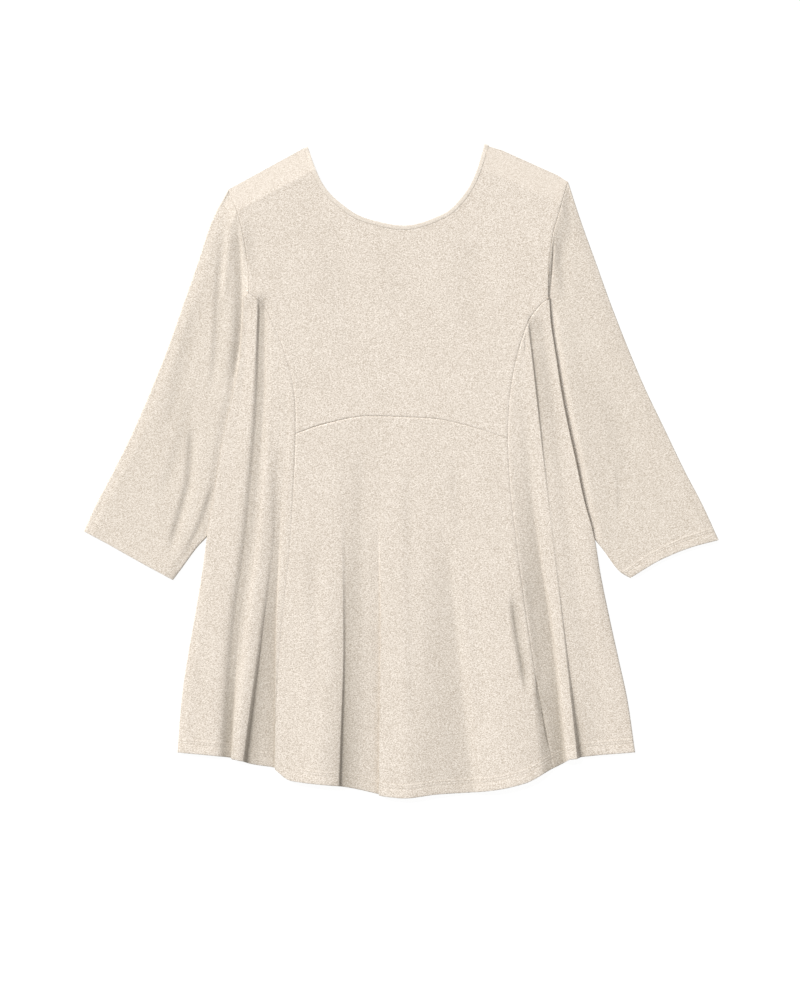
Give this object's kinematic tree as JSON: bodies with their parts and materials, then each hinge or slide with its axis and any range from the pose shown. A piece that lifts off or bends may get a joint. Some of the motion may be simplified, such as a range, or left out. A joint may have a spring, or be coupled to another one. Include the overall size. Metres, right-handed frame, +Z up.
{
  "type": "swing top",
  "caption": "Scoop-neck swing top with three-quarter sleeves, a curved empire seam and princess seams, laid flat with soft folds in its flared skirt.",
  "frame": {"origin": "centre of the garment's outline on the surface that it lies on", "axes": "+X across the garment, towards the picture's right; +Y from hem to neck; +Z up from the surface"},
  "size_m": [0.7614, 0.7836, 0.0125],
  "materials": {
    "jersey": "matte brushed jersey, heathered oatmeal",
    "neck_binding": "matte jersey binding, heathered oatmeal",
    "stitching": "matte sewing thread"
  },
  "bodies": {
    "root": {"back": "jersey", "front_bodice": "jersey", "front_skirt": "jersey", "side_front_left": "jersey", "side_front_right": "jersey", "sleeve_left": "jersey", "sleeve_right": "jersey", "neck_band": "neck_binding"}
  },
  "joints": []
}
